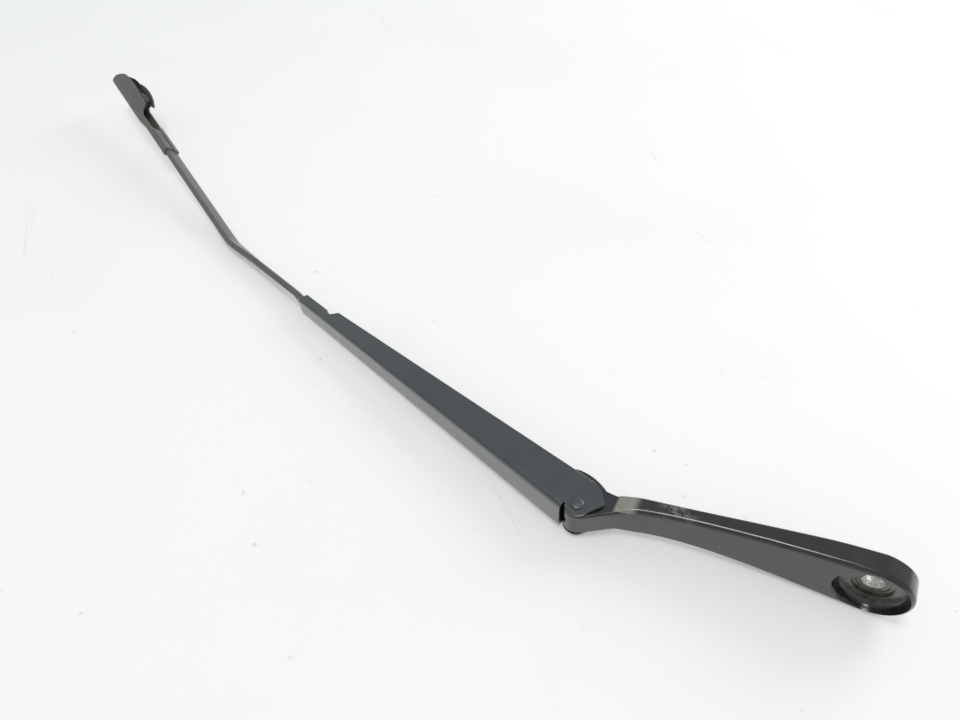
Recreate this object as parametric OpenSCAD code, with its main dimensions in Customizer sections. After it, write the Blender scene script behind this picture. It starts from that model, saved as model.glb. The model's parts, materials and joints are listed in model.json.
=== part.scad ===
// Windscreen wiper arm, shown lying on its side.
// Origin: mouth of the spindle hole. +Y is the glass side, +Z runs along the hinge rivet,
// and the arm reaches towards -X. All sizes are in millimetres.

/* [Spindle boss] */
// Small end of the spindle hole, where the nut pulls the arm down
spindle_d = 9; // [7:0.5:11]
// Large end of the serrated taper, at the glass side
taper_d = 10.6; // [9.6:0.2:13]
// Plain round land above the taper
land_h = 3; // [2:0.5:4]
// Length of the serrated taper
taper_h = 5.5; // [5:0.5:8]
// Number of serrations in the taper
serration_count = 36; // [24:2:48]
// Outer radius of the boss
boss_r = 16; // [15.2:0.1:19]
// Rim radius of the nut recess
recess_r = 14.4; // [12:0.1:14.5]
// Depth of the nut recess, from the rim to the mouth of the hole
recess_h = 6.2; // [5:0.1:8]
// Radius of the nut seat
seat_r = 8.3; // [7.5:0.1:9.5]
// Depth of the boss skirt below the mouth of the hole
boss_skirt = 5.3; // [4:0.1:8]

/* [Mounting head] */
// Distance of the hinge from the spindle, along the glass
hinge_x = 123.5; // [110:0.5:145]
// Height of the hinge above the mouth of the hole
hinge_y = 27; // [22:0.5:32]
// Half width of the neck
neck_w = 9.5; // [9.3:0.1:10.5]
// Wall of the hollow casting
cast_wall = 2.6; // [2:0.1:3.5]
// Edge rounding of the casting
cast_round = 2.4; // [1:0.1:2.8]
// Radius of the hinge barrel
barrel_r = 6; // [5.6:0.1:6.4]

/* [Hinge] */
// Rivet shank diameter
rivet_d = 4.6; // [4:0.1:5.2]
// Rivet head diameter
rivet_head_d = 6.3; // [6:0.1:8]
// Rivet head height
rivet_head_h = 1; // [0.8:0.1:1.6]
// Outer diameter of the hinge bushes
bush_d = 6.8; // [6.4:0.1:7.4]
// Length of each hinge bush
bush_l = 5.2; // [4:0.1:5.2]
// Thickness of the thrust washers
washer_t = 0.5; // [0.3:0.1:0.8]
// Play on each side of a thrust washer
washer_play = 0.05; // [0.02:0.01:0.1]
// Half width of the tongue between the ears
tongue_w = 7.2; // [6.5:0.1:7.4]
// Radial play of a turning fit
turn_play = 0.05; // [0.02:0.01:0.1]

/* [Arm channel] */
// Sheet thickness
sheet_t = 1.4; // [1.2:0.1:1.6]
// Length from the hinge to the crimped tip
channel_len = 216; // [190:1:240]
// Length of the crimped tip
crimp_len = 29; // [24:1:34]
// Distance of the hinge from the outer face of the web
web_hinge = 6.4; // [6:0.1:7]
// The same distance at the tip
web_tip = 5; // [4.8:0.1:5.6]
// Reach of the side walls below the hinge line, at the hinge
wall_hinge = 14.5; // [13:0.1:16]
// The same reach at the start of the crimp
wall_tip = 4.8; // [4:0.1:6]
// Outer bend radius at the hinge
bend_hinge = 2.8; // [2.2:0.1:3.2]
// Outer bend radius at the tip
bend_tip = 2; // [1.8:0.1:2.4]
// Angle between the channel and the glass line
channel_angle = 16.3; // [14:0.1:18]
// Distance of the cut end of the web from the hinge
web_start = 5; // [4.8:0.1:6]

/* [Arm rod] */
// Width of the flat bar
rod_w = 8.6; // [8:0.1:9]
// Thickness of the flat bar
rod_t = 4; // [3:0.1:4.2]
// Length of bar held inside the channel
rod_inside = 44; // [42:1:52]
// Free length from the channel to the bend
rod_straight = 89; // [70:1:110]
// Length from the bend to the tip carrier
rod_outer = 123; // [90:1:140]
// Bend towards the glass
rod_bend = 12; // [5:0.5:20]
// Twist of the bar where it leaves the channel
lead_twist = 28; // [10:1:35]
// Twist of the outer part
rod_twist = 46; // [30:1:52]
// Tilt of the bend out of the plane of the channel
bend_tilt = 32; // [20:1:40]
// Radius of the bend
rod_bend_r = 60; // [40:5:90]

/* [Spring] */
// Outer diameter of the coil
spring_d = 7.4; // [7:0.1:7.8]
// Wire diameter
wire_d = 1.8; // [1.6:0.1:2]
// Number of turns
spring_turns = 46; // [30:1:50]
// Diameter of the anchor pin
anchor_d = 4; // [3:0.1:4.4]
// Thickness of the spring link
link_t = 2.6; // [2:0.1:2.8]

/* [Tip carrier] */
// Sheet thickness of the carrier
carrier_t = 1.2; // [1:0.1:1.5]
// Length of the socket folded over the bar
socket_len = 37; // [32:1:44]
// Start of the claw, from the end of the bar
claw_start = 57; // [50:1:64]
// Length of the claw
claw_len = 70; // [60:1:80]
// Depth of the claw web below the middle of the bar
claw_web = 5.4; // [4.5:0.1:6]
// Height of the near claw wall above the middle of the bar
near_wall = 11.2; // [9:0.1:12.5]
// Height of the far claw wall above the middle of the bar
far_wall = 13.2; // [12:0.1:15.5]
// Gap between the blade adapter and the claw
adapter_gap = 0.1; // [0.05:0.05:0.2]

/* [Hidden] */

black_paint = "#26282a";
bare_steel = "#9a9a96";
spring_steel = "#54565a";
black_plastic = "#2b2b2b";
grey_plastic = "#4a4a44";

// Fits and places worked out from the sizes above
hinge = [-hinge_x, -hinge_y];
arm_dir = [-cos(channel_angle), sin(channel_angle)];
glass_dir = [sin(channel_angle), cos(channel_angle)];
ear_in = tongue_w + washer_t + 2 * washer_play;
hinge_w = ear_in + sheet_t;
neck_x = -hinge_x + 25.5;
neck = hinge + [19.5, 5.4];
tongue_start_x = -hinge_x + 12.5;
step_x = -hinge_x + 15.1;
tongue_round = 1.2;
// Anchor of the spring, measured along the arm and towards the glass from the hinge
anchor_s = 4.5;
anchor_off = 9.5;
anchor = hinge + anchor_s * arm_dir + anchor_off * glass_dir;
link_slot = link_t + 0.6;
link_eye_r = 4;
link_waist = 2.3;
link_far_s = 27;
flat_gap = 0.05;
// Surfaces joined side by side are set back by this much, so that none lie in one plane
skim = 0.02;
tip_w = rod_w / 2 + sheet_t + flat_gap;
rod_off = -web_tip + sheet_t + flat_gap + rod_t / 2;
rod_start_s = channel_len - rod_inside;
crimp_s = channel_len - crimp_len;
crimp_wall = rod_off + rod_t / 2 + flat_gap;
ear_len = 14;
edge_r = 0.3;

function lerp(a, b, t) = a + (b - a) * t;
function ease(t) = let (c = min(1, max(0, t))) c * c * (3 - 2 * c);
function unit(v) = v / norm(v);
function arc(c, r, a0, a1, n) = [
    for (i = [0:n]) let (a = lerp(a0, a1, i / n)) c + r * [cos(a), sin(a)]
];
function bezier(p, t) =
    pow(1 - t, 3) * p[0] + 3 * pow(1 - t, 2) * t * p[1] + 3 * (1 - t) * t * t * p[2] + pow(t, 3) * p[3];

// Moves every point of a closed clockwise outline inwards by d
function inset(p, d) = [
    for (i = [0:len(p) - 1])
        let (
            a = p[(i + len(p) - 1) % len(p)],
            b = p[(i + 1) % len(p)],
            v = unit(b - a)
        )
        p[i] + d * [v[1], -v[0]]
];

// Twice the area of a closed ring, as a vector
function ring_area(r, i = 1) =
    i < len(r) - 1 ? cross(r[i] - r[0], r[i + 1] - r[0]) + ring_area(r, i + 1) : [0, 0, 0];

// A face seen from its other side, still starting at the same point
function turned(f) = concat([f[0]], [for (j = [len(f) - 1:-1:1]) f[j]]);

// Solid through a list of closed rings with the same number of points. The ends are closed
// by the faces in cap, numbered along the ring, or by the ring itself.
module loft(rings, cap = []) {
    n = len(rings[0]);
    m = len(rings);
    outward = ring_area(rings[0]) * (rings[1][0] - rings[0][0]) < 0;
    sides = [
        for (i = [0:m - 2], j = [0:n - 1])
            let (a = i * n + j, b = i * n + (j + 1) % n)
            each [[a, b, b + n], [a, b + n, a + n]]
    ];
    ends = len(cap) > 0 ? cap : [[for (j = [0:n - 1]) j]];
    first = [for (f = ends) turned(f)];
    last = [for (f = ends) [for (j = f) (m - 1) * n + j]];
    polyhedron(
        points = [for (r = rings) each r],
        faces = [for (f = concat(sides, first, last)) outward ? f : turned(f)],
        convexity = 8
    );
}

// Plate of half thickness h about the middle plane, with its edges rounded by r
module rounded_plate(outline, h, r, cap = []) {
    upper = [
        for (a = [90:-30:0])
            [for (p = inset(outline, r * (1 - cos(a)))) [p[0], p[1], h - r * (1 - sin(a))]]
    ];
    lower = [for (i = [len(upper) - 1:-1:0]) [for (p = upper[i]) [p[0], p[1], -p[2]]]];
    loft(concat(upper, lower), cap);
}

// Places a shape drawn along the arm (x away from the hinge, y towards the glass)
module along_arm() {
    translate([hinge[0], hinge[1], 0]) rotate([0, 0, -channel_angle]) mirror([1, 0, 0]) children();
}

// Mounting head

// Outer face line of the casting in the XY plane, from the barrel to the boss
outer_curve = [
    [0, -recess_h],
    [-0.36 * hinge_x, -recess_h - 2.3],
    neck + [19, 8.6],
    neck
];
barrel_top = hinge + barrel_r * [cos(-70), sin(-70)];
tongue_curve = [neck, neck + [-5.4, -2.5], barrel_top + [4.7, 1.7], barrel_top];

function skirt_y(x) =
    x < step_x ? -hinge_y + 13.3 + 0.25 * (x - step_x) :
    boss_skirt + 0.4 * ease(-x / 20) + 0.1217 * x - 0.000445 * x * x;
function half_width(x) =
    x >= 0 ? boss_r :
    x >= neck_x ? lerp(neck_w, boss_r, (1 + cos(180 * pow(x / neck_x, 0.8))) / 2) :
    lerp(neck_w, tongue_w - 0.1, ease((x - neck_x) / (tongue_start_x - neck_x)));

// Stations [x, y of the outer face, half width, y of the skirt edge], from the neck to the boss
function station(p) = [p[0], p[1], half_width(p[0]), skirt_y(p[0])];
head_stations = concat(
    [for (t = [0.5:-0.1:0.1]) station(bezier(tongue_curve, t))],
    [for (t = [1:-0.05:0]) station(bezier(outer_curve, t))]
);

// Row of points round the casting, d inside its plan outline and y past the outer face
// or past the skirt edge: along one side, round the boss and back along the other side
function head_row(d, face, y) =
    let (
        side = [for (s = head_stations) [s[0], (face ? s[1] : s[3]) + y, s[2] - d]],
        boss_y = (face ? -recess_h : boss_skirt) + y,
        boss = [for (a = [82.5:-7.5:-82.5]) [(boss_r - d) * cos(a), boss_y, (boss_r - d) * sin(a)]],
        other_side = [for (i = [len(side) - 1:-1:0]) [side[i][0], side[i][1], -side[i][2]]]
    )
    concat(side, boss, other_side);

// Skin over rows of mirrored points, closed by strips from one side to the other
module skin(rows) {
    m = len(rows[0]);
    k = len(rows);
    walls = [
        for (i = [0:k - 2], j = [0:m - 2])
            let (a = i * m + j)
            each [[a, a + m + 1, a + m], [a, a + 1, a + m + 1]]
    ];
    base = (k - 1) * m;
    top = [
        for (j = [0:floor(m / 2) - 1])
            each [[base + j, base + m - 2 - j, base + m - 1 - j], [base + j, base + j + 1, base + m - 2 - j]]
    ];
    bottom = [
        for (j = [0:floor(m / 2) - 1])
            each [[j, m - 1 - j, m - 2 - j], [j, m - 2 - j, j + 1]]
    ];
    heel = concat([for (i = [0:k - 1]) i * m], [for (i = [k - 1:-1:0]) i * m + m - 1]);
    solid_strips = [for (f = concat(top, bottom)) if (f[0] != f[1] && f[1] != f[2] && f[0] != f[2]) f];
    polyhedron(points = [for (r = rows) each r], faces = concat(walls, solid_strips, [heel]), convexity = 6);
}

module head_body() {
    rim = 0.8;
    skin(concat(
        [head_row(rim, false, 0), head_row(0, false, -rim)],
        [for (a = [0:22.5:90]) head_row(cast_round * (1 - cos(a)), true, cast_round * (1 - sin(a)))]
    ));
}

// Hollow under the casting, between the boss and the neck
module head_pocket() {
    corner = 1.5;
    stations = [for (s = head_stations) if (s[0] > neck_x + 4 && s[0] < -boss_r - 3) s];
    loft([
        for (s = stations)
            let (
                w = s[2] - cast_wall,
                roof = s[1] + cast_wall,
                mouth = s[3] + 1,
                outline = [
                    [roof, w - corner], [roof, corner - w], [roof + corner, -w],
                    [mouth, -w], [mouth, w], [roof + corner, w]
                ]
            )
            [for (q = outline) [s[0], q[0], q[1]]]
    ]);
}

// Ribs across the hollow, set back from the skirt edge
module head_ribs() {
    rib_t = 1.6;
    rib_h = 5;
    set_back = 1.5;
    for (share = [0.4, 0.6, 0.8]) {
        x = share * neck_x;
        w = half_width(x) - cast_wall / 2;
        translate([x - rib_t / 2, skirt_y(x) - set_back - rib_h, -w]) cube([rib_t, rib_h, 2 * w]);
    }
}

// Outline of the tongue: under the neck, round the barrel, over the lobe, back to the step
barrel_steps = 14;
lobe_steps = 8;
tongue_outline = concat(
    [neck + [8, 4], neck + [3, 2.2]],
    [for (t = [0.1:0.1:0.9]) bezier(tongue_curve, t) + [0, 0.1]],
    arc(hinge, barrel_r, -70, -190, barrel_steps),
    arc(hinge + [-5.5, 8.5], 10.6, 165, 105, lobe_steps),
    arc(hinge + [-6.2, -5.9], 25, 90, 52, lobe_steps),
    [hinge + [12.3, 13.6], hinge + [15.1, 13.7], [neck[0] + 8, -hinge_y + 13.9]]
);
// Its ends are closed by two faces, seen from the end of the barrel and from the step
barrel_end = 11 + barrel_steps;
step_point = barrel_end + 2 * lobe_steps + 4;
tongue_cap = [
    [for (j = [barrel_end:step_point]) j],
    concat([step_point, step_point + 1], [for (j = [0:barrel_end]) j])
];

module tongue() {
    rounded_plate(tongue_outline, tongue_w, tongue_round, tongue_cap);
}

// Round cuts about the spindle, drawn as [radius, y]
module spindle_turned(points) {
    rotate([-90, 0, 0]) rotate_extrude($fn = 96) polygon(points);
}

module spindle_cuts() {
    floor_y = -1.6;
    spindle_turned([
        [0, -recess_h - 3], [recess_r + 0.6, -recess_h - 3], [recess_r + 0.6, -recess_h - 0.4],
        [recess_r, -recess_h + 0.2], [recess_r - 1, floor_y - 0.8], [recess_r - 1.8, floor_y],
        [seat_r, floor_y], [seat_r, -0.5], [seat_r - 1.7, -0.5], [seat_r - 1.9, 0], [0, 0]
    ]);
    spindle_turned([[0, -1], [spindle_d / 2, -1], [spindle_d / 2, land_h], [0, land_h]]);
    spindle_turned([
        [0, land_h - 0.01], [spindle_d / 2, land_h - 0.01],
        [taper_d / 2, land_h + taper_h], [0, land_h + taper_h]
    ]);
}

// Grooves that the knurled spindle cuts in the taper
module serrations() {
    depth = 0.35;
    n = 2 * serration_count;
    teeth = [for (i = [0:2:n - 2]) [(i + n - 1) % n, i, i + 1]];
    ends = [[spindle_d / 2, land_h + 0.6], [taper_d / 2 + 0.05, land_h + taper_h + 0.5]];
    rings = [
        for (end = ends)
            [
                for (i = [0:n - 1])
                    let (a = -360 * i / n, r = end[0] + (i % 2 == 0 ? depth : -depth))
                    [r * cos(a), end[1], r * sin(a)]
            ]
    ];
    loft(rings, concat([[for (i = [1:2:n - 1]) i]], teeth));
}

module mounting_head() {
    hub_r = 8.5;
    hub_end = land_h + taper_h;
    boss_floor = 1.6;
    color(black_paint)
    difference() {
        union() {
            difference() {
                head_body();
                head_pocket();
                spindle_turned([
                    [hub_r, boss_skirt + 1], [hub_r, boss_floor], [boss_r - cast_wall - 0.6, boss_floor],
                    [boss_r - cast_wall, boss_skirt + 1]
                ]);
            }
            intersection() {
                head_body();
                head_ribs();
            }
            tongue();
            spindle_turned([[0, 1], [hub_r, 1], [hub_r, hub_end - 1], [hub_r - 1, hub_end], [0, hub_end]]);
        }
        spindle_cuts();
        serrations();
        translate([hinge[0], hinge[1], -neck_w]) cylinder(d = bush_d, h = 2 * neck_w, $fn = 64);
        translate([anchor[0], anchor[1], -neck_w]) cylinder(d = anchor_d, h = 2 * neck_w, $fn = 48);
        link_room();
    }
}

// Slot between the cheeks of the tongue, where the spring link swings
module link_room() {
    clear_s = anchor_s - link_waist - 0.7;
    along_arm()
    translate([0, 0, -link_slot / 2])
    linear_extrude(link_slot) {
        translate([anchor_s, anchor_off]) circle(r = link_eye_r + 0.6, $fn = 48);
        translate([clear_s, -barrel_r - 4]) square([30, 36]);
    }
}

// Hinge

module hinge_bush(side) {
    color(black_plastic)
    translate([hinge[0], hinge[1], side > 0 ? tongue_w - bush_l : -tongue_w])
    difference() {
        cylinder(d = bush_d, h = bush_l, $fn = 64);
        translate([0, 0, -1]) cylinder(d = rivet_d + 2 * turn_play, h = bush_l + 2, $fn = 64);
    }
}

module hinge_bush_upper() {
    hinge_bush(1);
}

module hinge_bush_lower() {
    hinge_bush(-1);
}

module thrust_washer(side) {
    low = side > 0 ? tongue_w + washer_play : -tongue_w - washer_play - washer_t;
    color(black_plastic)
    translate([hinge[0], hinge[1], low])
    difference() {
        cylinder(r = barrel_r - 0.6, h = washer_t, $fn = 64);
        translate([0, 0, -1]) cylinder(d = rivet_d + 2 * turn_play, h = washer_t + 2, $fn = 64);
    }
}

module thrust_washer_upper() {
    thrust_washer(1);
}

module thrust_washer_lower() {
    thrust_washer(-1);
}

// Rivet through both ears, with a domed head at each end
module hinge_rivet() {
    r = rivet_head_d / 2;
    rim = 0.3;
    head = concat(
        [[0, 0], [r, 0], [r, rim]],
        [for (a = [15:15:75]) [r * cos(a), rim + (rivet_head_h - rim) * sin(a)]],
        [[0, rivet_head_h]]
    );
    color(black_paint)
    translate([hinge[0], hinge[1], 0])
    union() {
        translate([0, 0, -hinge_w]) cylinder(d = rivet_d, h = 2 * hinge_w, $fn = 64);
        for (side = [0, 1])
            mirror([0, 0, side])
            translate([0, 0, hinge_w])
            rotate_extrude($fn = 64)
            polygon(head);
    }
}

// Arm channel

function past_ears(s) = max(0, s - ear_len) / (channel_len - ear_len);
function web_at(s) = lerp(web_hinge, web_tip, past_ears(s));
function width_at(s) = lerp(hinge_w, tip_w, past_ears(s));
function bend_at(s) = lerp(bend_hinge, bend_tip, past_ears(s));
function wall_at(s) = lerp(lerp(wall_hinge, wall_tip, s / crimp_s), crimp_wall, ease((s - crimp_s) / 4));

// One wall of a folded section, from its free edge down the outside to the web.
// With a lip, the edge is folded inwards and wall is the height of the fold's underside.
function wall_outside(web, width, bend, wall, t, lip) = concat(
    lip > 0 ?
    [
        [wall, width - lip], [wall + t, width - lip], [wall + t, width - 0.7 * t],
        [wall + 0.8 * t, width - 0.2 * t], [wall + 0.3 * t, width]
    ] :
    [
        [wall - edge_r, width - t], [wall, width - t + edge_r], [wall, width - 0.5 * t],
        [wall, width - edge_r], [wall - edge_r, width]
    ],
    [for (a = [0:22.5:90]) [-web + bend * (1 - sin(a)), width - bend * (1 - cos(a))]]
);

// The same wall from the web up the inside
function wall_inside(web, width, bend, wall, t, lip) = concat(
    [for (a = [90:-22.5:0]) [-web + bend - (bend - t) * sin(a), width - bend + (bend - t) * cos(a)]],
    [[lip > 0 ? wall : wall - 2 * edge_r, width - t]]
);

// Folded section at distance s: bend is the outer bend radius, and the walls and lips
// are given for the +Z side and the -Z side
function u_section(s, web, width, bend, walls, t, lips = [0, 0]) =
    let (
        out = wall_outside(web, width, bend, walls[0], t, lips[0]),
        out_2 = wall_outside(web, width, bend, walls[1], t, lips[1]),
        in = wall_inside(web, width, bend, walls[0], t, lips[0]),
        in_2 = wall_inside(web, width, bend, walls[1], t, lips[1])
    )
    concat(
        [for (p = out) [s, p[0], p[1]]],
        [for (i = [len(out_2) - 1:-1:0]) [s, out_2[i][0], -out_2[i][1]]],
        [for (i = [len(in_2) - 1:-1:0]) [s, in_2[i][0], -in_2[i][1]]],
        [for (p = in) [s, p[0], p[1]]]
    );

// End faces of a folded section: each outside point is paired with a point of the inside
edge_points = 5;
bend_points = 5;
outside_last = 2 * (edge_points + bend_points) - 1;
inside_count = 2 * bend_points + 2;
function paired(j) =
    outside_last + inside_count - min(inside_count - 1, max(0, j - edge_points + 1));
u_cap = [
    for (j = [0:outside_last - 1])
        paired(j) == paired(j + 1) ? [j, j + 1, paired(j)] : [j, j + 1, paired(j + 1), paired(j)]
];

// Everything outside the ears, seen along the rivet
ear_cut = concat(
    [[web_start, -web_hinge - 1], [web_start, -web_hinge + bend_hinge]],
    [[web_start - 0.6, -web_hinge + bend_hinge + 0.8]],
    arc([0, 0], barrel_r - 0.1, -50, -155, 10),
    arc([-7.1, 7.6], 2.2, 190, 120, 4),
    arc([1.5, 4], 10.4, 118, 85, 6),
    [[8, wall_hinge + 0.4], [8, wall_hinge + 3], [-20, wall_hinge + 3], [-20, -web_hinge - 1]]
);

module arm_channel() {
    lip = width_at(channel_len) - 0.9;
    notch_len = 6.6;
    plain = concat(
        [-12, ear_len, 30],
        [for (s = [50:20:crimp_s - 20]) s],
        [for (d = [0:4]) crimp_s + d],
        [crimp_s + notch_len]
    );
    folded = [for (d = [notch_len + 1.2, crimp_len - 10, crimp_len - 4, crimp_len]) crimp_s + d];
    function section(s, wall, lips) =
        u_section(s, web_at(s), width_at(s), bend_at(s), wall * [1, 1], sheet_t, lips);
    color(black_paint)
    along_arm()
    difference() {
        loft(
            concat(
                [for (s = plain) section(s, wall_at(s), [0, 0])],
                [for (s = folded) section(s, crimp_wall, [lip, lip - 0.6])]
            ),
            u_cap
        );
        translate([0, 0, -hinge_w - 1]) linear_extrude(2 * hinge_w + 2) polygon(ear_cut);
        translate([0, 0, -ear_in]) cylinder(r = barrel_r + 0.45, h = 2 * ear_in, $fn = 96);
        translate([0, 0, -hinge_w - 1]) cylinder(d = rivet_d, h = 2 * hinge_w + 2, $fn = 64);
    }
}

// Spring and its link

rod_hole_s = rod_start_s + 5;
tab_off = 1.7;
// Line of pull, from the anchor pin to the hole in the rod
function pull_off(s) = lerp(anchor_off, tab_off, (s - anchor_s) / (rod_hole_s - anchor_s));

// Flat link from the anchor pin to the spring
module spring_link() {
    far_r = 3.3;
    waist = [0, link_waist];
    near = [anchor_s, anchor_off];
    far = [link_far_s, pull_off(link_far_s)];
    color(spring_steel)
    along_arm()
    translate([0, 0, -link_t / 2])
    difference() {
        linear_extrude(link_t) {
            translate(near) circle(r = link_eye_r, $fn = 48);
            translate(far) circle(r = far_r, $fn = 48);
            polygon([near + waist, near - waist, far - waist, far + waist]);
        }
        translate([near[0], near[1], -1]) cylinder(d = anchor_d + 2 * turn_play, h = link_t + 2, $fn = 48);
        translate([far[0], far[1], -1]) cylinder(d = wire_d + 1.2, h = link_t + 2, $fn = 48);
    }
}

module anchor_pin() {
    color(bare_steel)
    translate([anchor[0], anchor[1], -tongue_w])
    cylinder(d = anchor_d, h = 2 * tongue_w, $fn = 48);
}

// Spring wire, drawn along the arm as [along, towards glass, up]
spring_r = (spring_d - wire_d) / 2;
hook_r = 3.4;
coil_start_s = link_far_s + 2 * hook_r + 4;
coil_end_s = rod_start_s - 8;
coil_steps = 8;
coil_count = spring_turns * coil_steps;
under_tab = tab_off - rod_t / 2 - wire_d / 2 - 0.15;

near_hook = [
    for (a = [300:-24:84])
        [link_far_s + hook_r * (1 + cos(a)), pull_off(link_far_s), -hook_r * sin(a)]
];
coil = [
    for (i = [0:coil_count])
        let (a = 360 * i / coil_steps, at = lerp(coil_start_s, coil_end_s, i / coil_count))
        [at, pull_off(at) + spring_r * sin(a), -spring_r * cos(a)]
];
far_hook = [
    [coil_end_s + 2.5, lerp(pull_off(coil_end_s), under_tab, 0.5), 0.8 - spring_r],
    [coil_end_s + 6, under_tab, -0.5],
    [rod_hole_s - 3.2, under_tab, 0],
    [rod_hole_s - 1.2, under_tab + 0.35, 0],
    [rod_hole_s - 0.2, under_tab + 1.4, 0],
    [rod_hole_s - 0.2, tab_off + 0.8, 0],
    [rod_hole_s - 0.5, tab_off + rod_t / 2 + 0.9, 0]
];

// Tube along a list of points, with its rings carried on without turning
module sweep(path, r, sides) {
    last = len(path) - 1;
    tangents = [for (i = [0:last]) unit(path[min(last, i + 1)] - path[max(0, i - 1)])];
    normals = [
        for (i = 0, n = unit(cross(tangents[0], [0.2, 1, 0.1])); i <= last;
            n = i < last ? unit(n - (n * tangents[i + 1]) * tangents[i + 1]) : n, i = i + 1) n
    ];
    loft([
        for (i = [0:last])
            let (u = normals[i], v = cross(tangents[i], u))
            [for (k = [0:sides - 1]) let (a = 360 * k / sides) path[i] + r * (cos(a) * u + sin(a) * v)]
    ]);
}

module tension_spring() {
    color(spring_steel)
    along_arm()
    sweep(concat(near_hook, coil, far_hook), wire_d / 2, 5);
}

// Arm rod

// The bend is tilted by most of the twist, so the outer part also rises
bend_dir = [0, cos(bend_tilt), sin(bend_tilt)];
side_dir = [0, -sin(bend_tilt), cos(bend_tilt)];
bend_len = rod_bend_r * rod_bend * PI / 180;
bend_s = channel_len + rod_straight - bend_len / 2;
twist_len = 40;
lead_len = 14;
lead_rise = 2;
rod_inner_len = socket_len - 3;

// Share of the first twist and rise, just past the crimp
function lead(l) = ease((bend_s + l - channel_len - 0.5) / lead_len);
// Point, tangent and glass-side normal of the bar at distance l past the start of the bend
function bend_angle(l) = rod_bend * min(1, max(0, l / bend_len));
function bar_point(l) =
    let (a = bend_angle(l), run = l - min(bend_len, max(0, l)))
    [bend_s, rod_off + lead_rise * lead(l), 0]
    + (min(0, run) + rod_bend_r * sin(a)) * [1, 0, 0]
    + rod_bend_r * (1 - cos(a)) * bend_dir
    + max(0, run) * (cos(a) * [1, 0, 0] + sin(a) * bend_dir);
function bar_tangent(l) = let (a = bend_angle(l)) cos(a) * [1, 0, 0] + sin(a) * bend_dir;
function bar_twist(l) =
    lead_twist * lead(l) + (rod_twist - lead_twist) * ease((l + twist_len - bend_len) / twist_len);
function bar_normal(l) =
    let (a = bend_angle(l), turn = bar_twist(l) - bend_tilt)
    cos(turn) * (cos(a) * bend_dir - sin(a) * [1, 0, 0]) + sin(turn) * side_dir;
// Set of the drilled inner end towards the glass
joggle_s = 9;
joggle_len = 11;
function joggle(l) = (tab_off - rod_off) * (1 - ease((bend_s + l - rod_start_s - joggle_s) / joggle_len));

module arm_rod() {
    corner = 0.9;
    corner_mid = 0.3;
    a = rod_w / 2;
    b = rod_t / 2;
    quarter = [[corner, 0], [corner_mid, corner_mid], [0, corner]];
    section = concat(
        [for (q = quarter) [a - q[0], b - q[1]]],
        [for (i = [2:-1:0]) let (q = quarter[i]) [a - q[0], q[1] - b]],
        [for (q = quarter) [q[0] - a, q[1] - b]],
        [for (i = [2:-1:0]) let (q = quarter[i]) [q[0] - a, b - q[1]]]
    );
    inner = rod_start_s - bend_s;
    stations = concat(
        [for (d = [0, each [joggle_s - 1:2:joggle_s + 9], joggle_s + joggle_len + 1]) inner + d],
        [for (d = [0:2:lead_len + 2]) channel_len + d - bend_s],
        [for (d = [-twist_len + bend_len:4:-1]) d],
        [for (i = [0:8]) bend_len * i / 8],
        [bend_len + rod_outer - bend_len / 2, bend_len / 2 + rod_outer + rod_inner_len]
    );
    color(black_paint)
    along_arm()
    difference() {
        loft([
            for (l = stations)
                let (p = bar_point(l) + [0, joggle(l), 0], n = bar_normal(l), w = cross(n, bar_tangent(l)))
                [for (q = section) p + q[0] * w + q[1] * n]
        ]);
        translate([rod_hole_s, tab_off, 0])
            rotate([90, 0, 0])
            cylinder(d = wire_d + 0.7, h = rod_t + 2, center = true, $fn = 32);
    }
}

// Tip carrier

// Places a shape drawn from the end of the bar: x outwards, y towards the glass
module at_tip() {
    l = bend_len / 2 + rod_outer;
    t = bar_tangent(l);
    n = bar_normal(l);
    w = cross(t, n);
    along_arm()
    translate(bar_point(l))
    rotate([atan2(n[2], w[2]), -asin(t[2]), atan2(t[1], t[0])])
    children();
}

carrier_len = claw_start + claw_len;
carrier_web = rod_t / 2 + flat_gap + carrier_t;
carrier_w = rod_w / 2 + flat_gap + carrier_t;
socket_top = rod_t / 2 + flat_gap;
claw_bend = 3;
front_top = 1;

function claw_part(x) = ease((x - socket_len - 4) / (claw_start - socket_len - 4));

// Free edges of the two walls, seen across the carrier. Both meet the sloping front.
claw_front = [
    [carrier_len - 4.4, 4.3],
    [carrier_len - 1.3, front_top],
    [carrier_len - 0.1, -claw_web + 0.4],
    [carrier_len - 0.1, -claw_web - 2]
];
// The near wall rises by this much along its straight stretch
near_rise = 1.1;
near_back = claw_start + 4;
near_front = carrier_len - 22;
near_edge = concat(
    [[socket_len - 7, socket_top - skim], [claw_start - 2.5, socket_top - skim]],
    [[claw_start + 0.5, 3.2], [claw_start + 1.7, 6], [claw_start + 2.4, near_wall - 2]],
    [
        for (t = [0:0.1:1])
            [lerp(near_back, near_front, t), near_wall - near_rise * (1 - t) * (1 - 0.4 * t)]
    ],
    [[carrier_len - 18, near_wall - 0.3], [carrier_len - 14, near_wall - 1.3]],
    [[carrier_len - 9, near_wall - 4]],
    claw_front
);
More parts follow.
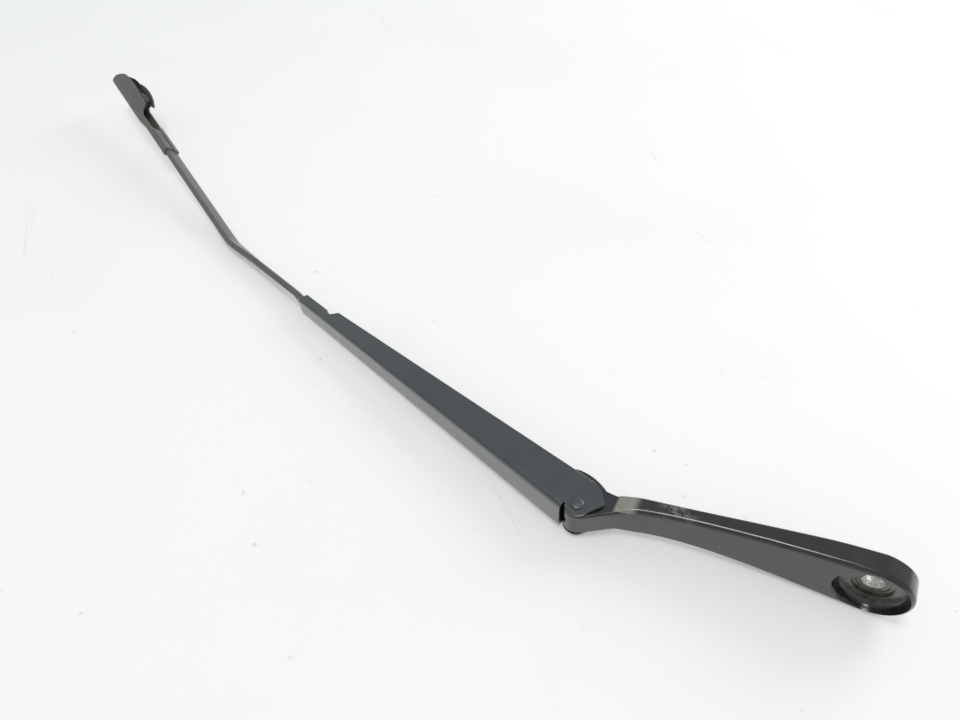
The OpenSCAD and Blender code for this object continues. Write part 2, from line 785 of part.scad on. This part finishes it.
// Hump of the far wall behind its hook, as [share of its length, drop]
hump = [[0, 0.6], [5 / 31, 0.1], [11 / 31, 0], [17 / 31, 0.5], [24 / 31, 2], [1, 3.9]];
hump_back = claw_start + 19;
hump_front = carrier_len - 20;
far_edge = concat(
    [[socket_len, socket_top - skim], [claw_start + 11, socket_top - skim]],
    [[claw_start + 14, 3.4], [claw_start + 13.8, 6.2], [claw_start + 7.6, 7.4]],
    [[claw_start + 7, 8.2], [claw_start + 9, far_wall - 3.9], [claw_start + 13, far_wall - 1.9]],
    [for (q = hump) [lerp(hump_back, hump_front, q[0]), far_wall - q[1]]],
    [[carrier_len - 16.8, 8.5], [carrier_len - 12, 6.6]],
    claw_front
);

// Everything above a free edge, on one side of the middle
module above(edge, side) {
    tall = far_wall + 4;
    reach = carrier_w + 2;
    split = -0.85;
    translate([0, 0, side > 0 ? split : -reach])
    linear_extrude(side > 0 ? reach - split : reach + split)
    polygon(concat(edge, [[carrier_len + 5, -claw_web - 2], [carrier_len + 5, tall], [edge[0][0], tall]]));
}

// Socket folded over the bar, opening into the claw that holds the blade adapter
module tip_carrier() {
    socket_bend = carrier_t + 0.9;
    wide_lip = carrier_w + 0.15;
    lips = [wide_lip, carrier_w - 1.5];
    tall = far_wall + 2;
    folded = [0, socket_len / 2, socket_len + 1];
    open = concat([for (d = [4:4:claw_start - socket_len]) socket_len + d], [carrier_len]);
    function socket(x) =
        u_section(x, carrier_web, carrier_w, socket_bend, socket_top * [1, 1], carrier_t, lips);
    function claw(x) =
        let (k = claw_part(x), web = lerp(carrier_web, claw_web, k), bend = lerp(socket_bend, claw_bend, k))
        u_section(x, web, carrier_w, bend, tall * [1, 1], carrier_t);
    color(black_paint)
    at_tip()
    difference() {
        loft(concat([for (x = folded) socket(x)], [for (x = open) claw(x)]), u_cap);
        above(near_edge, 1);
        above(far_edge, -1);
    }
}

// Blade adapter

adapter_w = carrier_w - carrier_t - adapter_gap;
adapter_back = claw_start + 14.5;
adapter_low = -claw_web + carrier_t + adapter_gap;
adapter_wall = 1.6;

module blade_adapter() {
    round_r = claw_bend - carrier_t - adapter_gap;
    top = near_wall + 0.2;
    front = carrier_len - 1.2;
    outline = [
        [adapter_back, adapter_low], [adapter_back, top - 3], [adapter_back + 1.5, top - 1],
        [adapter_back + 10, top - 0.4], [carrier_len - 23.5, top], [carrier_len - 17.5, top - 1],
        [carrier_len - 6, 3.6], [front, -0.6], [front, adapter_low]
    ];
    hollow_start = adapter_back + 8;
    hollow_len = carrier_len - 17.5 - hollow_start;
    tooth = [6.2, 1.5, 1.3];
    color(grey_plastic)
    at_tip()
    difference() {
        union() {
            rounded_plate(outline, adapter_w, round_r);
            for (z = [-3.2, -0.5, 2.2])
                translate([carrier_len - 4, 0.4, z - tooth[2] / 2]) cube(tooth);
        }
        translate([hollow_start, adapter_low + adapter_wall, adapter_wall - adapter_w])
            cube([hollow_len, top + 6, 2 * (adapter_w - adapter_wall)]);
    }
}

mounting_head();
hinge_bush_upper();
hinge_bush_lower();
thrust_washer_upper();
thrust_washer_lower();
hinge_rivet();
anchor_pin();
spring_link();
tension_spring();
arm_channel();
arm_rod();
tip_carrier();
blade_adapter();
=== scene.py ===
"""Looks of the windscreen wiper arm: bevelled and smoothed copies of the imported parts,
worn satin paint, bare and spring steel, plastics, a pale floor and soft light."""

import json
import math

import bmesh
import bpy
from mathutils import Matrix, Vector

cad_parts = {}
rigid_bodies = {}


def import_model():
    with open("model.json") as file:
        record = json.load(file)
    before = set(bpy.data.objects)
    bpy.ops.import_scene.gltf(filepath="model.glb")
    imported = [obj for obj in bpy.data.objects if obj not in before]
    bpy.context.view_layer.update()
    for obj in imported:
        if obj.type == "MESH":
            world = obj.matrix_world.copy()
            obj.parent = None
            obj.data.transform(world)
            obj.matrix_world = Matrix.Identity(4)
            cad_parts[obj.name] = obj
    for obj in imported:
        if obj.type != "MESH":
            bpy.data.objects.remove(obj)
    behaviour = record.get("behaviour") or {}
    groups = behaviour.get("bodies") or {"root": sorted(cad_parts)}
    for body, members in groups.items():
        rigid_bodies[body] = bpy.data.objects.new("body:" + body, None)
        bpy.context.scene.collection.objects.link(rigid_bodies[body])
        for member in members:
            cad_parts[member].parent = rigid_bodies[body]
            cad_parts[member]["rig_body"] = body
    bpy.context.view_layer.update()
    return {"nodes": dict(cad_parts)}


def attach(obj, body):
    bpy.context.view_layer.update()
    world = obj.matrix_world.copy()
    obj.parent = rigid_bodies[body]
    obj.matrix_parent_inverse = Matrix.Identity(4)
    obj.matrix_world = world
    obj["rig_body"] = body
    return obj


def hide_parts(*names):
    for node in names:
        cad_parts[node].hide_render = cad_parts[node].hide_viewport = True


MM = 0.001

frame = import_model()


# Shader building


class Shader:
    """A Principled material, built from procedural nodes that read the rest position."""

    def __init__(self, name, **constants):
        self.material = bpy.data.materials.new(name)
        self.material.use_nodes = True
        self.nodes = self.material.node_tree.nodes
        self.links = self.material.node_tree.links
        self.surface = self.nodes["Principled BSDF"]
        for socket, value in constants.items():
            self.surface.inputs[socket.replace("_", " ")].default_value = value
        self.position = self.nodes.new("ShaderNodeTexCoord").outputs["Object"]

    def put(self, socket, value):
        if isinstance(value, bpy.types.NodeSocket):
            self.links.new(value, socket)
        else:
            socket.default_value = value

    def noise(self, scale, detail=4.0, rough=0.6, stretch=(1, 1, 1), distortion=0.0):
        """Noise of about 0 to 1 with features of 1/scale metres."""
        node = self.nodes.new("ShaderNodeTexNoise")
        node.inputs["Scale"].default_value = scale
        node.inputs["Detail"].default_value = detail
        node.inputs["Roughness"].default_value = rough
        node.inputs["Distortion"].default_value = distortion
        shift = self.nodes.new("ShaderNodeMapping")
        shift.inputs["Scale"].default_value = stretch
        self.links.new(self.position, shift.inputs["Vector"])
        self.links.new(shift.outputs["Vector"], node.inputs["Vector"])
        return node.outputs["Fac"]

    def math(self, kind, *values):
        node = self.nodes.new("ShaderNodeMath")
        node.operation = kind
        for socket, value in zip(node.inputs, values):
            self.put(socket, value)
        return node.outputs[0]

    def span(self, value, low, high, out_low=0.0, out_high=1.0):
        """Smooth step of value between low and high."""
        node = self.nodes.new("ShaderNodeMapRange")
        node.interpolation_type = "SMOOTHSTEP"
        for name, number in zip(
            ("Value", "From Min", "From Max", "To Min", "To Max"),
            (value, low, high, out_low, out_high),
        ):
            self.put(node.inputs[name], number)
        return node.outputs["Result"]

    def rise(self, value, ends):
        """0 to 1 between two ends in millimetres."""
        return self.span(value, ends[0] * MM, ends[1] * MM)

    def fall(self, value, ends):
        """1 to 0 between two ends in millimetres."""
        return self.span(value, ends[0] * MM, ends[1] * MM, 1.0, 0.0)

    def near(self, centre, radius, stretch=(1, 1, 1)):
        """1 at centre, falling to 0 at radius. Both are in millimetres of the rest position."""
        shift = self.nodes.new("ShaderNodeMapping")
        shift.inputs["Location"].default_value = [-c * MM * s for c, s in zip(centre, stretch)]
        shift.inputs["Scale"].default_value = stretch
        self.links.new(self.position, shift.inputs["Vector"])
        length = self.nodes.new("ShaderNodeVectorMath")
        length.operation = "LENGTH"
        self.links.new(shift.outputs["Vector"], length.inputs[0])
        return self.span(length.outputs["Value"], 0.0, radius * MM, 1.0, 0.0)

    def blend(self, amount, first, second):
        """Colour mix from first to second."""
        node = self.nodes.new("ShaderNodeMix")
        node.data_type = "RGBA"
        self.put(node.inputs["Factor"], amount)
        for socket, colour in ((node.inputs["A"], first), (node.inputs["B"], second)):
            self.put(socket, colour if isinstance(colour, bpy.types.NodeSocket) else (*colour, 1.0))
        return node.outputs["Result"]

    def colour(self, value):
        self.put(self.surface.inputs["Base Color"], value)

    def rough(self, value):
        self.put(self.surface.inputs["Roughness"], value)

    def metal(self, value):
        self.put(self.surface.inputs["Metallic"], value)

    def bump(self, height, distance, strength=1.0):
        node = self.nodes.new("ShaderNodeBump")
        node.inputs["Distance"].default_value = distance
        node.inputs["Strength"].default_value = strength
        self.links.new(height, node.inputs["Height"])
        self.links.new(node.outputs["Normal"], self.surface.inputs["Normal"])

    def axis(self, name):
        split = self.nodes.new("ShaderNodeSeparateXYZ")
        self.links.new(self.position, split.inputs[0])
        return split.outputs[name]


def worn_paint(name, base, dusty, chips, gloss, coat=0.0, ior=1.6):
    """Gloss paint that has greyed unevenly, with fine scratches and small chips."""
    s = Shader(name, IOR=ior, Coat_Weight=coat, Coat_Roughness=0.1, Coat_IOR=1.6)
    patches = s.span(s.noise(55, 5), 0.45, 0.7)
    specks = s.span(s.noise(700, 2), 0.66, 0.74)
    scratches = s.span(s.noise(420, 3, stretch=(0.12, 1, 1), distortion=0.4), 0.64, 0.72)
    chip = s.math("MULTIPLY", s.span(s.noise(260, 4), 0.68, 0.7), chips)
    grey = s.blend(s.math("MULTIPLY", patches, 0.4), base, dusty)
    grey = s.blend(s.math("MULTIPLY", specks, 0.3), grey, [c * 1.9 for c in dusty])
    grey = s.blend(s.math("MULTIPLY", scratches, 0.25), grey, [c * 1.6 for c in dusty])
    s.colour(s.blend(chip, grey, (0.3, 0.29, 0.27)))
    s.rough(s.span(s.noise(90, 5), 0.3, 0.75, gloss, gloss + 0.14))
    s.bump(s.noise(1100, 3), 0.00005, 0.3)
    return s, grey, chip


# Materials

# Places on the casting in millimetres. A pair is where a finish starts and ends its fade
RECESS_RADIUS = (12.2, 13.8)
RECESS_DEPTH = (-5.6, -2.6)
HOLE_RADIUS = (5.9, 6.3)
HOLE_START = (0.05, 0.3)
# Pale patches on the neck: partly worn paint, partly a painted highlight of the sloping neck
RUB_HIGHLIGHT_START = (-111.6, -110.4)
RUB_HIGHLIGHT_END = (-101.5, -97)
RUB_HIGHLIGHT_FLANK = (7.3, 7.6)
SCUFF_HIGHLIGHT_CENTRE = (-82, -10.5, 9.2)
SCUFF_HIGHLIGHT_RADIUS = 12

# Places along the arm where the paint turns greyer
SHEET_GREYS = (-215, -330)
ROD_GREYS = (-385, -430)

BOARD_GLOW = 0.3


def cast_paint():
    """Paint of the cast head: recess dirt, pale neck patches that are partly scuffed paint and partly
    painted highlight, bare serrated hole painted pale as painted light.
    """
    base = (0.01, 0.0103, 0.0106)
    dusty = (0.024, 0.0245, 0.023)
    s, grey, _ = worn_paint("cast_paint", base, dusty, chips=0.15, gloss=0.2, coat=0.5)
    x, y, z = (s.axis(a) for a in "XYZ")
    radius = s.math("SQRT", s.math("ADD", s.math("MULTIPLY", x, x), s.math("MULTIPLY", z, z)))
    in_recess = s.math("MULTIPLY", s.fall(radius, RECESS_RADIUS), s.rise(y, RECESS_DEPTH))
    dirt = s.math("MULTIPLY", in_recess, s.span(s.noise(330, 5), 0.36, 0.6, 0.35, 1.0))
    grey = s.blend(dirt, grey, (0.115, 0.108, 0.084))
    # Pale scuff patch on the neck: partly scuffed paint, partly a painted highlight
    scuff_and_highlight = s.near(SCUFF_HIGHLIGHT_CENTRE, SCUFF_HIGHLIGHT_RADIUS, (1, 1.6, 2))
    scuff_and_highlight = s.math("MULTIPLY", scuff_and_highlight, s.span(s.noise(260, 5), 0.44, 0.62))
    grey = s.blend(s.math("MULTIPLY", scuff_and_highlight, 0.9), grey, (0.24, 0.238, 0.21))
    # Pale band on the neck's upward flank: partly rubbed paint, partly a painted highlight where the
    # slope catches the light
    rub_and_highlight = s.math("MULTIPLY", s.rise(x, RUB_HIGHLIGHT_START), s.fall(x, RUB_HIGHLIGHT_END))
    rub_and_highlight = s.math("MULTIPLY", rub_and_highlight, s.rise(s.math("ABSOLUTE", z), RUB_HIGHLIGHT_FLANK))
    rub_and_highlight = s.math("MULTIPLY", rub_and_highlight, s.span(s.noise(420, 4), 0.2, 0.5, 0.55, 1.0))
    grey = s.blend(s.math("MULTIPLY", rub_and_highlight, 0.8), grey, (0.4, 0.395, 0.335))
    # The hole's wall is bare metal, and its pale colour is painted light: it stands for light that
    # reaches into the hole from the floor
    bare = s.math("MULTIPLY", s.fall(radius, HOLE_RADIUS), s.rise(y, HOLE_START))
    pits = s.span(s.noise(1700, 3), 0.45, 0.58)
    s.colour(s.blend(bare, grey, s.blend(pits, (0.92, 0.91, 0.86), (0.42, 0.4, 0.34))))
    s.metal(s.math("MULTIPLY", bare, 0.25))
    return s.material


def sheet_paint():
    """Paint of the folded sheet, greyer towards the crimped end."""
    base = (0.018, 0.021, 0.023)
    dusty = (0.03, 0.033, 0.034)
    s, grey, chip = worn_paint("sheet_paint", base, dusty, chips=0.15, gloss=0.22, coat=1.0, ior=1.9)
    far = s.rise(s.axis("X"), SHEET_GREYS)
    grey = s.blend(s.math("MULTIPLY", far, 0.5), grey, (0.06, 0.06, 0.056))
    s.colour(s.blend(chip, grey, (0.28, 0.27, 0.25)))
    return s.material


def carrier_paint():
    """Olive grey, weathered paint of the tip carrier."""
    base = (0.13, 0.13, 0.112)
    dusty = (0.18, 0.178, 0.155)
    s, _, _ = worn_paint("carrier_paint", base, dusty, chips=0.3, gloss=0.3)
    return s.material


def rod_paint():
    """Thin, rubbed grey coat of the bar."""
    base = (0.14, 0.14, 0.13)
    dusty = (0.19, 0.187, 0.174)
    s, grey, chip = worn_paint("rod_paint", base, dusty, chips=0.3, gloss=0.26)
    out = s.rise(s.axis("X"), ROD_GREYS)
    grey = s.blend(s.math("MULTIPLY", out, 0.6), grey, (0.16, 0.157, 0.143))
    s.colour(s.blend(chip, grey, (0.26, 0.23, 0.19)))
    return s.material


def rivet_paint():
    """Duller paint of the rivet heads."""
    base = (0.03, 0.032, 0.033)
    dusty = (0.045, 0.046, 0.045)
    s, _, _ = worn_paint("rivet_paint", base, dusty, chips=0.3, gloss=0.42, coat=0.25, ior=1.9)
    return s.material


def edge_wear(name, paint, coat=0.0, ior=1.6):
    """Edges of painted parts, rubbed through here and there."""
    s = Shader(name, IOR=ior, Coat_Weight=coat, Coat_Roughness=0.1, Coat_IOR=1.6)
    rubbed = s.math("MULTIPLY", s.span(s.noise(190, 5), 0.54, 0.66), 0.7)
    s.colour(s.blend(rubbed, paint, (0.2, 0.198, 0.185)))
    s.metal(s.math("MULTIPLY", rubbed, 0.5))
    s.rough(0.32)
    return s.material


def steel(name, colour, tarnish, rough):
    """Bare steel with tarnish."""
    s = Shader(name)
    stain = s.span(s.noise(240, 5), 0.4, 0.66)
    s.colour(s.blend(stain, colour, tarnish))
    s.metal(s.span(stain, 0.0, 1.0, 0.95, 0.6))
    s.rough(s.span(s.noise(700, 4), 0.3, 0.7, rough, rough + 0.18))
    s.bump(s.noise(2200, 2), 0.00005, 0.4)
    return s.material


def plastic(name, colour, aged, rough):
    """Moulded plastic with a fine grain."""
    s = Shader(name, Specular_IOR_Level=0.45)
    s.colour(s.blend(s.span(s.noise(150, 4), 0.4, 0.7), colour, aged))
    s.rough(rough)
    s.bump(s.noise(2600, 2), 0.00004, 0.5)
    return s.material


def table_top():
    """White board with faint scratches, smudges and dust."""
    s = Shader("table_top", Specular_IOR_Level=0.3)
    smudge = s.span(s.noise(5, 5), 0.45, 0.75)
    dust = s.span(s.noise(160, 2), 0.71, 0.76)
    lines = s.span(s.noise(34, 3, stretch=(0.06, 1, 1), distortion=1.2), 0.7, 0.72)
    tone = s.blend(s.math("MULTIPLY", smudge, 0.5), (0.905, 0.9, 0.885), (0.87, 0.862, 0.845))
    tone = s.blend(s.math("MULTIPLY", dust, 0.5), tone, (0.5, 0.49, 0.46))
    tone = s.blend(s.math("MULTIPLY", lines, 0.22), tone, (0.6, 0.59, 0.57))
    s.colour(tone)
    s.rough(0.6)
    ray = s.nodes.new("ShaderNodeLightPath").outputs
    seen = s.math("MAXIMUM", ray["Is Glossy Ray"], ray["Is Transmission Ray"])
    seen = s.math("MAXIMUM", ray["Is Camera Ray"], seen)
    s.put(s.surface.inputs["Emission Color"], tone)
    s.put(s.surface.inputs["Emission Strength"], s.math("MULTIPLY", seen, BOARD_GLOW))
    return s.material


# Finish: materials of the faces and of the rounded edges
PAINT = {
    "cast": (cast_paint(), edge_wear("cast_edge", (0.02, 0.021, 0.021), coat=0.5)),
    "sheet": (sheet_paint(), edge_wear("sheet_edge", (0.034, 0.037, 0.038), coat=1.0, ior=1.9)),
    "carrier": (carrier_paint(), edge_wear("carrier_edge", (0.16, 0.158, 0.137))),
    "rod": (rod_paint(),) * 2,
    "rivet": (rivet_paint(),) * 2,
    "pin": (steel("pin_steel", (0.5, 0.49, 0.47), (0.22, 0.19, 0.16), rough=0.32),) * 2,
    "spring": (steel("spring_steel", (0.2, 0.2, 0.21), (0.1, 0.085, 0.07), rough=0.38),) * 2,
    "bush": (plastic("bush_plastic", (0.03, 0.03, 0.031), (0.055, 0.054, 0.05), rough=0.5),) * 2,
    "adapter": (plastic("adapter_plastic", (0.06, 0.058, 0.05), (0.1, 0.095, 0.08), rough=0.52),) * 2,
}

# CAD node: finish, record slot, edge bevel in millimetres
FINISHES = {
    "mounting_head": ("cast", "cast_paint", 0.35),
    "hinge_bush_upper": ("bush", "bush_plastic", 0.15),
    "hinge_bush_lower": ("bush", "bush_plastic", 0.15),
    "thrust_washer_upper": ("bush", "bush_plastic", 0.1),
    "thrust_washer_lower": ("bush", "bush_plastic", 0.1),
    "hinge_rivet": ("rivet", "sheet_paint", 0.12),
    "anchor_pin": ("pin", "bare_steel", 0.3),
    "spring_link": ("spring", "spring_steel", 0.25),
    "tension_spring": ("spring", "spring_steel", 0),
    "arm_channel": ("sheet", "sheet_paint", 0.35),
    "arm_rod": ("rod", "sheet_paint", 0),
    "tip_carrier": ("carrier", "sheet_paint", 0.2),
    "blade_adapter": ("adapter", "adapter_plastic", 0.2),
}


# Geometry

# Points closer than this many metres become one
WELD = 1e-6
# Facets that meet flatter than this become one face
FLAT = math.radians(0.4)
# Edges sharper than this get a small round, and those up to SMOOTH are shaded as one surface
CORNER = math.radians(34)
SMOOTH = math.radians(38)


def refined(node, finish, bevel):
    """Copy of a CAD node with welded points, small edge rounds and weighted normals."""
    cad = frame["nodes"][node]
    bm = bmesh.new()
    bm.from_mesh(cad.data)
    bmesh.ops.remove_doubles(bm, verts=bm.verts, dist=WELD)
    bmesh.ops.dissolve_limit(bm, angle_limit=FLAT, verts=bm.verts, edges=bm.edges)
    for face in bm.faces:
        face.smooth = True
        face.material_index = 0
    if bevel:
        sharp = [e for e in bm.edges if len(e.link_faces) == 2 and e.calc_face_angle(0) > CORNER]
        bmesh.ops.bevel(
            bm, geom=sharp, offset=bevel * MM, offset_type="OFFSET", segments=2, profile=0.5,
            affect="EDGES", clamp_overlap=True, material=1,
        )
    mesh = bpy.data.meshes.new(f"{node}_finished")
    bm.to_mesh(mesh)
    bm.free()
    mesh.polygons.foreach_set("use_smooth", [True] * len(mesh.polygons))
    mesh.set_sharp_from_angle(angle=SMOOTH)
    piece = bpy.data.objects.new(f"{node}_finished", mesh)
    bpy.context.scene.collection.objects.link(piece)
    weighted = piece.modifiers.new("weighted", "WEIGHTED_NORMAL")
    weighted.keep_sharp = True
    for material in PAINT[finish]:
        mesh.materials.append(material)
    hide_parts(node)
    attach(piece, cad["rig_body"])
    return piece


for node, (finish, slot, bevel) in FINISHES.items():
    frame["nodes"][node].data.materials.clear()
    frame["nodes"][node].data.materials.append(PAINT[finish][0])
    refined(node, finish, bevel)


# Floor, light and camera

FLOOR_SIZE = 8
FLOOR_NORMAL = Vector((0.035361, 0.044359, 0.998390))
FLOOR_LEVEL = -16.17 * MM

MIDDLE_OF_ARM = (-0.2, 0.0, 0.0)
SKY_COLOUR = (0.9, 0.96, 1.0)
SKY_STRENGTH = 0.47

CAMERA_PLACE = Vector((-69.881, -185.438, 284.987)) * MM
CAMERA_RIGHT = Vector((0.87439, 0.48239, -0.05240))
CAMERA_UP = Vector((-0.32343, 0.65993, 0.67815))
CAMERA_BACK = Vector((0.36171, -0.57602, 0.73305))
CAMERA_LENS = 25.875


def floor():
    """Board that the arm lies on, tilted as the arm rests on it."""
    bpy.ops.mesh.primitive_plane_add(size=FLOOR_SIZE)
    board = bpy.context.object
    board.name = "floor"
    board.rotation_mode = "QUATERNION"
    board.rotation_quaternion = FLOOR_NORMAL.to_track_quat("Z", "Y")
    board.location = FLOOR_NORMAL * FLOOR_LEVEL
    board.data.materials.append(table_top())


def area_light(name, place, size, power, colour=(1, 1, 1)):
    """Round lamp of size metres and power watts that looks at the arm."""
    data = bpy.data.lights.new(name, "AREA")
    data.shape = "DISK"
    data.size = size
    data.energy = power
    data.color = colour
    light = bpy.data.objects.new(name, data)
    light.location = place
    light.rotation_mode = "QUATERNION"
    light.rotation_quaternion = (Vector(MIDDLE_OF_ARM) - Vector(place)).to_track_quat("-Z", "Y")
    bpy.context.scene.collection.objects.link(light)


def sky(colour, strength):
    world = bpy.data.worlds.new("room")
    world.use_nodes = True
    background = world.node_tree.nodes["Background"]
    background.inputs["Color"].default_value = (*colour, 1)
    background.inputs["Strength"].default_value = strength
    bpy.context.scene.world = world


def camera():
    """View of the photograph, solved from the arm's own features."""
    data = bpy.data.cameras.new("camera")
    data.sensor_fit = "HORIZONTAL"
    data.sensor_width = 36
    data.lens = CAMERA_LENS
    turn = Matrix((CAMERA_RIGHT, CAMERA_UP, CAMERA_BACK)).transposed().to_4x4()
    seen = bpy.data.objects.new("camera", data)
    seen.matrix_world = Matrix.Translation(CAMERA_PLACE) @ turn
    data.clip_start = 0.01
    bpy.context.scene.collection.objects.link(seen)
    bpy.context.scene.camera = seen


floor()
sky(SKY_COLOUR, SKY_STRENGTH)
area_light("ceiling", (-0.15, -0.1, 2.0), size=0.6, power=8, colour=(1.0, 0.99, 0.97))
area_light("window", (0.7, 1.75, 0.8), size=1.2, power=14)
camera()
bpy.context.scene.view_settings.view_transform = "Standard"
